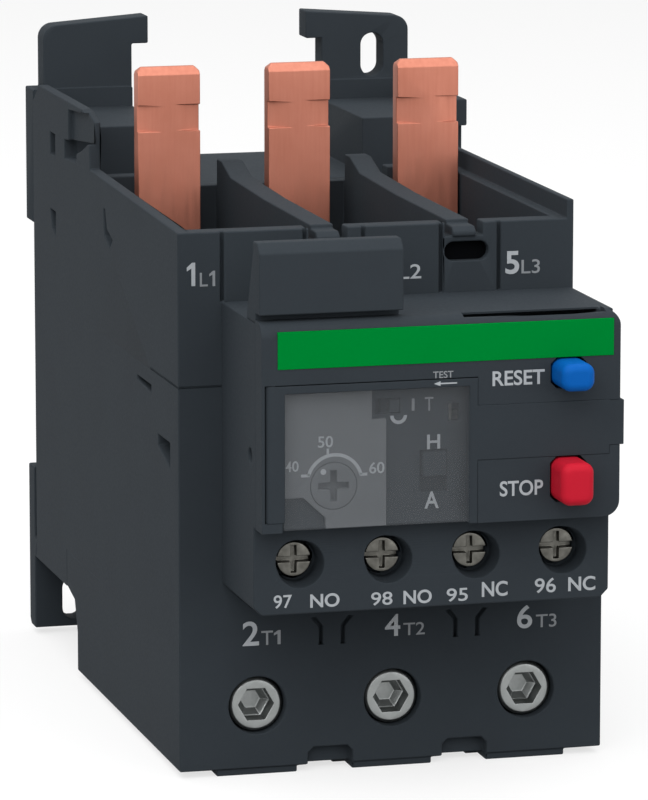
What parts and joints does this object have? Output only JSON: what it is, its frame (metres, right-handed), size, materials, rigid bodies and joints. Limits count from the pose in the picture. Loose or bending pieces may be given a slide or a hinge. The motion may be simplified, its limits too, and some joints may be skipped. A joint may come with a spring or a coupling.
{
  "type": "thermal overload relay",
  "caption": "Plug-in thermal overload relay with copper blades, cage-clamp terminals, setting dial under a hinged cover, and reset and stop buttons.",
  "frame": {"origin": "middle of the bounding box, at the lowest rims of the conductor entries", "axes": "+X to the right seen from the front, +Y from the buttons to the mounting plate, +Z from the conductor entries to the copper blades"},
  "size_m": [0.055, 0.1146, 0.0862],
  "materials": {
    "housing_plastic": "moulded, fine texture",
    "module_plastic": "moulded, satin",
    "copper": "stamped copper, satin",
    "zinc_steel": "zinc plated",
    "smoked_clear": "smoked clear plastic",
    "green_label": "printed strip",
    "blue_button": "moulded, satin",
    "red_button": "moulded, satin",
    "scale_grey": "printed plate",
    "pale_plastic": "moulded",
    "bimetal": "rolled strip",
    "heater_wire": "flat resistance wire",
    "brass": "stamped brass"
  },
  "bodies": {
    "housing": {"main_housing": "housing_plastic", "terminal_block": "housing_plastic", "upper_housing": "housing_plastic", "mounting_plate": "housing_plastic", "marker_holder": "housing_plastic", "control_housing": "module_plastic", "front_fascia": "module_plastic", "label_strip": "green_label", "scale_plate": "scale_grey", "compensator_pin": "zinc_steel", "rocker_pin": "zinc_steel", "control_terminals": "brass", "fixed_contacts": "brass", "input_blade_1": "copper", "input_blade_2": "copper", "input_blade_3": "copper", "output_bar_1": "copper", "output_bar_2": "copper", "output_bar_3": "copper", "bimetal_strip_1": "bimetal", "bimetal_strip_2": "bimetal", "bimetal_strip_3": "bimetal", "heater_coil_1": "heater_wire", "heater_coil_2": "heater_wire", "heater_coil_3": "heater_wire"},
    "screw_1": {"power_screw_1": "zinc_steel"},
    "clamp_1": {"power_clamp_1": "zinc_steel"},
    "screw_2": {"power_screw_2": "zinc_steel"},
    "clamp_2": {"power_clamp_2": "zinc_steel"},
    "screw_3": {"power_screw_3": "zinc_steel"},
    "clamp_3": {"power_clamp_3": "zinc_steel"},
    "aux_screw_1": {"control_screw_1": "zinc_steel"},
    "aux_clamp_1": {"control_clamp_1": "zinc_steel"},
    "aux_screw_2": {"control_screw_2": "zinc_steel"},
    "aux_clamp_2": {"control_clamp_2": "zinc_steel"},
    "aux_screw_3": {"control_screw_3": "zinc_steel"},
    "aux_clamp_3": {"control_clamp_3": "zinc_steel"},
    "aux_screw_4": {"control_screw_4": "zinc_steel"},
    "aux_clamp_4": {"control_clamp_4": "zinc_steel"},
    "dial": {"setting_dial": "module_plastic"},
    "selector": {"mode_selector": "module_plastic"},
    "test": {"test_slider": "module_plastic"},
    "reset": {"reset_button": "blue_button"},
    "stop": {"stop_button": "red_button"},
    "cover": {"cover_frame": "module_plastic", "cover_pane": "smoked_clear"},
    "trip": {"trip_slide": "pale_plastic"},
    "return": {"return_slide": "pale_plastic"},
    "differential": {"differential_lever": "pale_plastic"},
    "compensator": {"compensating_lever": "bimetal"},
    "rocker": {"trip_rocker": "pale_plastic", "trip_flag": "pale_plastic"},
    "carrier": {"contact_carrier": "pale_plastic", "contact_bridges": "brass"}
  },
  "joints": [
    {"name": "power_screw_1_turn", "type": "hinge", "parent": "housing", "child": "screw_1", "pos_m": [-0.0175, -0.032, 0.0089], "axis": [0, 1, 0], "range_deg": [0, 2160.01]},
    {"name": "power_clamp_1_slide", "type": "slide", "parent": "housing", "child": "clamp_1", "axis": [0, -1, 0], "range_m": [0, 0.006]},
    {"name": "power_screw_2_turn", "type": "hinge", "parent": "housing", "child": "screw_2", "pos_m": [0, -0.032, 0.0089], "axis": [0, 1, 0], "range_deg": [0, 2160.01]},
    {"name": "power_clamp_2_slide", "type": "slide", "parent": "housing", "child": "clamp_2", "axis": [0, -1, 0], "range_m": [0, 0.006]},
    {"name": "power_screw_3_turn", "type": "hinge", "parent": "housing", "child": "screw_3", "pos_m": [0.0175, -0.032, 0.0089], "axis": [0, 1, 0], "range_deg": [0, 2160.01]},
    {"name": "power_clamp_3_slide", "type": "slide", "parent": "housing", "child": "clamp_3", "axis": [0, -1, 0], "range_m": [0, 0.006]},
    {"name": "control_screw_1_turn", "type": "hinge", "parent": "housing", "child": "aux_screw_1", "pos_m": [-0.0166, -0.0473, 0.0305], "axis": [0, 1, 0], "range_deg": [0, 2400.01]},
    {"name": "control_clamp_1_slide", "type": "slide", "parent": "housing", "child": "aux_clamp_1", "axis": [0, -1, 0], "range_m": [0, 0.004]},
    {"name": "control_screw_2_turn", "type": "hinge", "parent": "housing", "child": "aux_screw_2", "pos_m": [-0.00545, -0.0473, 0.0305], "axis": [0, 1, 0], "range_deg": [0, 2400.01]},
    {"name": "control_clamp_2_slide", "type": "slide", "parent": "housing", "child": "aux_clamp_2", "axis": [0, -1, 0], "range_m": [0, 0.004]},
    {"name": "control_screw_3_turn", "type": "hinge", "parent": "housing", "child": "aux_screw_3", "pos_m": [0.0057, -0.0473, 0.0305], "axis": [0, 1, 0], "range_deg": [0, 2400.01]},
    {"name": "control_clamp_3_slide", "type": "slide", "parent": "housing", "child": "aux_clamp_3", "axis": [0, -1, 0], "range_m": [0, 0.004]},
    {"name": "control_screw_4_turn", "type": "hinge", "parent": "housing", "child": "aux_screw_4", "pos_m": [0.01685, -0.0473, 0.0305], "axis": [0, 1, 0], "range_deg": [0, 2400.01]},
    {"name": "control_clamp_4_slide", "type": "slide", "parent": "housing", "child": "aux_clamp_4", "axis": [0, -1, 0], "range_m": [0, 0.004]},
    {"name": "dial_turn", "type": "hinge", "parent": "housing", "child": "dial", "pos_m": [-0.0126, -0.0512, 0.0401], "axis": [0, 1, 0], "range_deg": [-21, 121]},
    {"name": "selector_slide", "type": "slide", "parent": "housing", "child": "selector", "axis": [0, 0, -1], "range_m": [0, 0.0018]},
    {"name": "test_slide", "type": "slide", "parent": "housing", "child": "test", "axis": [-1, 0, 0], "range_m": [0, 0.0014], "stiffness_N_per_m": 400},
    {"name": "reset_press", "type": "slide", "parent": "housing", "child": "reset", "axis": [0, 1, 0], "range_m": [0, 0.0025], "stiffness_N_per_m": 500},
    {"name": "stop_press", "type": "slide", "parent": "housing", "child": "stop", "axis": [0, 1, 0], "range_m": [0, 0.002], "stiffness_N_per_m": 500},
    {"name": "cover_hinge", "type": "hinge", "parent": "housing", "child": "cover", "pos_m": [-0.0206, -0.05215, 0.0445], "axis": [0, 0, -1], "range_deg": [0, 95]},
    {"name": "trip_push", "type": "slide", "parent": "housing", "child": "trip", "axis": [1, 0, 0], "range_m": [0, 0.0016]},
    {"name": "return_push", "type": "slide", "parent": "housing", "child": "return", "axis": [1, 0, 0], "range_m": [0, 0.0016]},
    {"name": "differential_turn", "type": "hinge", "parent": "trip", "child": "differential", "pos_m": [0.0174, 0.0063, 0.026], "axis": [0, 0, 1], "range_deg": [0, 3]},
    {"name": "compensator_turn", "type": "hinge", "parent": "housing", "child": "compensator", "pos_m": [0.0226, -0.0147, 0.0379], "axis": [0, 0, -1], "range_deg": [0, 4.36]},
    {"name": "rocker_turn", "type": "hinge", "parent": "housing", "child": "rocker", "pos_m": [0.012, -0.0417, 0.0449], "axis": [0, 0, 1], "range_deg": [0, 15.01]},
    {"name": "carrier_slide", "type": "slide", "parent": "housing", "child": "carrier", "axis": [-1, 0, 0], "range_m": [0, 0.001]}
  ],
  "couplings": [
    {"joint": "power_screw_1_turn", "follows": "power_clamp_1_slide", "rad_per_m": 6283.2},
    {"joint": "power_screw_2_turn", "follows": "power_clamp_2_slide", "rad_per_m": 6283.2},
    {"joint": "power_screw_3_turn", "follows": "power_clamp_3_slide", "rad_per_m": 6283.2},
    {"joint": "control_screw_1_turn", "follows": "control_clamp_1_slide", "rad_per_m": 10472},
    {"joint": "control_screw_2_turn", "follows": "control_clamp_2_slide", "rad_per_m": 10472},
    {"joint": "control_screw_3_turn", "follows": "control_clamp_3_slide", "rad_per_m": 10472},
    {"joint": "control_screw_4_turn", "follows": "control_clamp_4_slide", "rad_per_m": 10472},
    {"joint": "return_push", "follows": "trip_push", "ratio": 1},
    {"joint": "compensator_turn", "follows": "trip_push", "rad_per_m": 47.527},
    {"joint": "rocker_turn", "follows": "trip_push", "rad_per_m": 163.62},
    {"joint": "carrier_slide", "follows": "trip_push", "ratio": 0.625}
  ]
}
